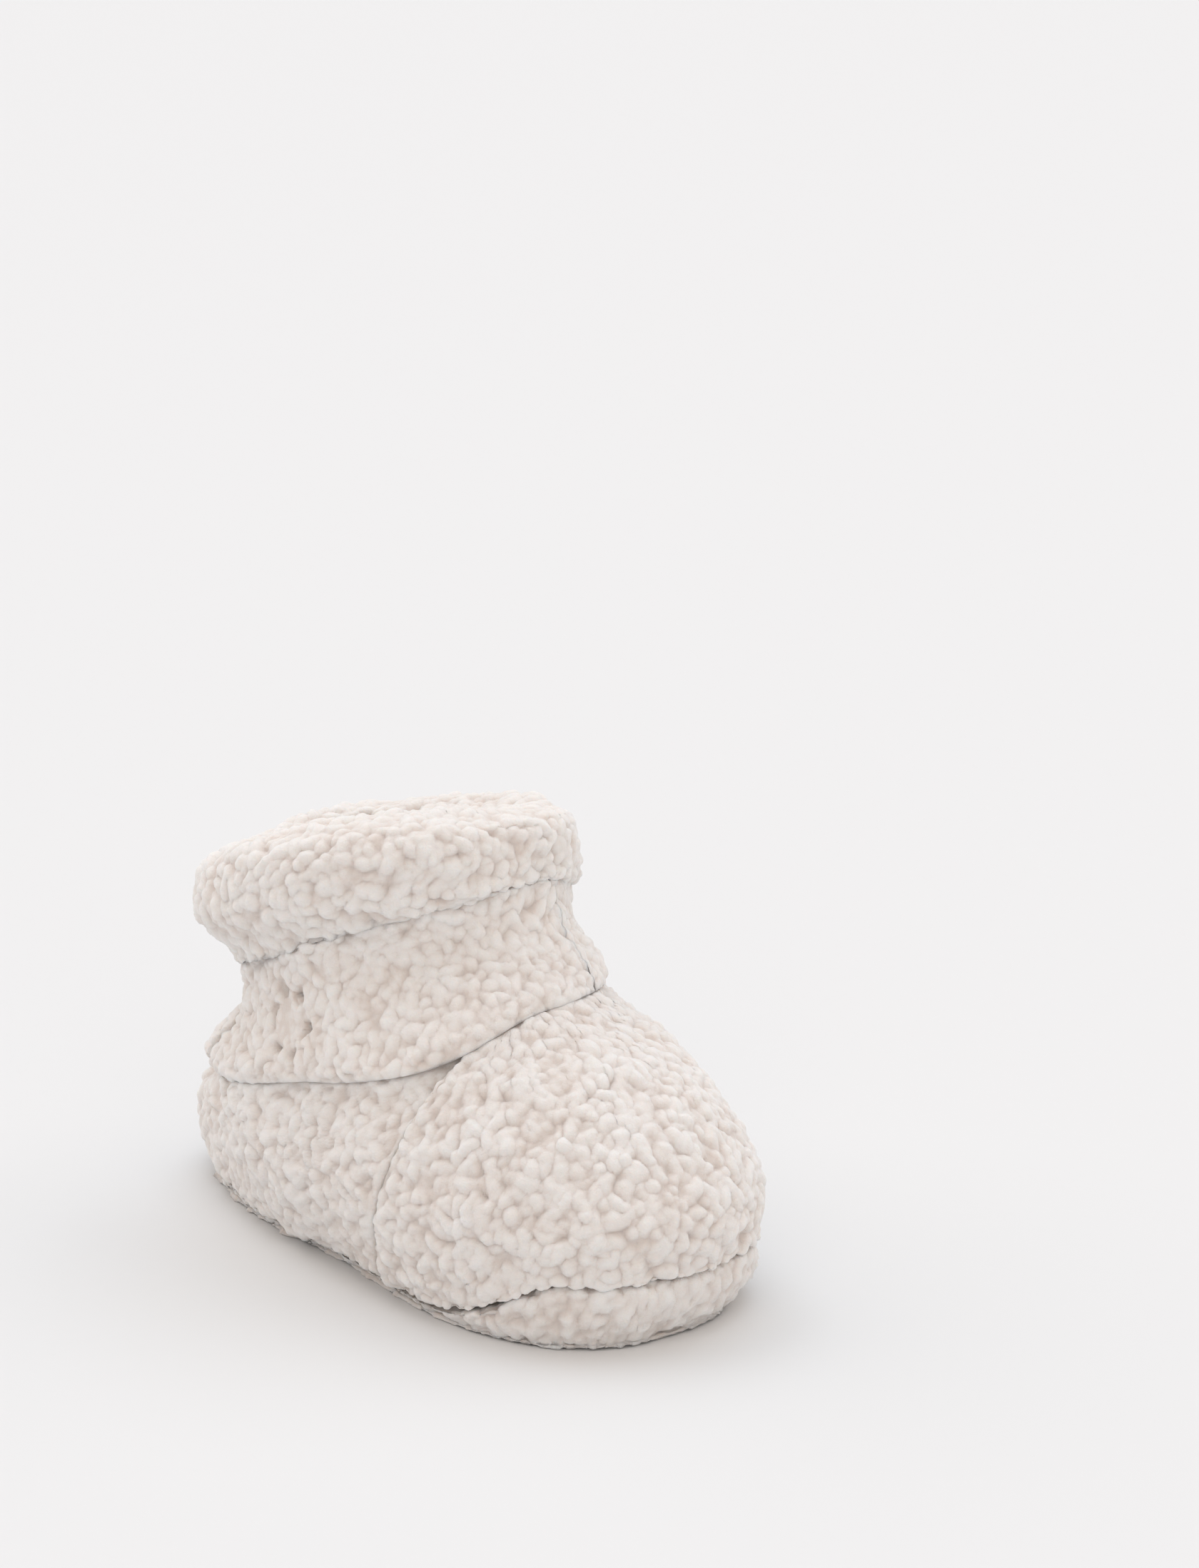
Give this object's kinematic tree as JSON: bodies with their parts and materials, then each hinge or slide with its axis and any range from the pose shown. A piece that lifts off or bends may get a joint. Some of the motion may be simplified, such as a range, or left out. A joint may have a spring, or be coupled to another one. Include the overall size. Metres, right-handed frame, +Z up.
{
  "type": "baby bootie",
  "caption": "Soft fleece baby bootie with a padded sole, rolled ankle collar and a wrap band that closes with a hidden snap.",
  "frame": {"origin": "middle of the overall footprint, on the ground under the sole", "axes": "+X towards the toe, +Y towards the other foot (inner side), +Z up; the closing flap is on -Y, the outer side of a right foot"},
  "size_m": [0.1256, 0.0652, 0.0784],
  "materials": {
    "fleece": "curly teddy fleece, cream, matt",
    "lining": "short fleece lining, cream, matt",
    "foam": "soft wadding pad",
    "thread": "sewing thread",
    "elastic": "woven elastic tape",
    "snap": "plated pressed steel"
  },
  "bodies": {
    "bootie": {"outsole": "fleece", "sole_foam": "foam", "insole": "lining", "vamp_outer": "fleece", "vamp_lining": "lining", "quarter_outer": "fleece", "quarter_lining": "lining", "shaft_outer": "fleece", "shaft_lining": "lining", "ankle_elastic": "elastic", "collar_roll": "lining", "band_outer": "fleece", "band_facing": "lining", "snap_stud": "snap", "snap_post": "snap", "sole_seam": "thread", "side_seam_outer": "thread", "side_seam_inner": "thread"},
    "flap": {"flap_outer": "fleece", "flap_facing": "lining", "snap_socket": "snap", "snap_cap": "snap"}
  },
  "joints": [
    {"name": "flap_fold", "type": "hinge", "parent": "bootie", "child": "flap", "pos_m": [0.00974, -0.02471, 0.05092], "axis": [-0.7785, 0.082, 0.6223], "range_deg": [0, 100]}
  ]
}
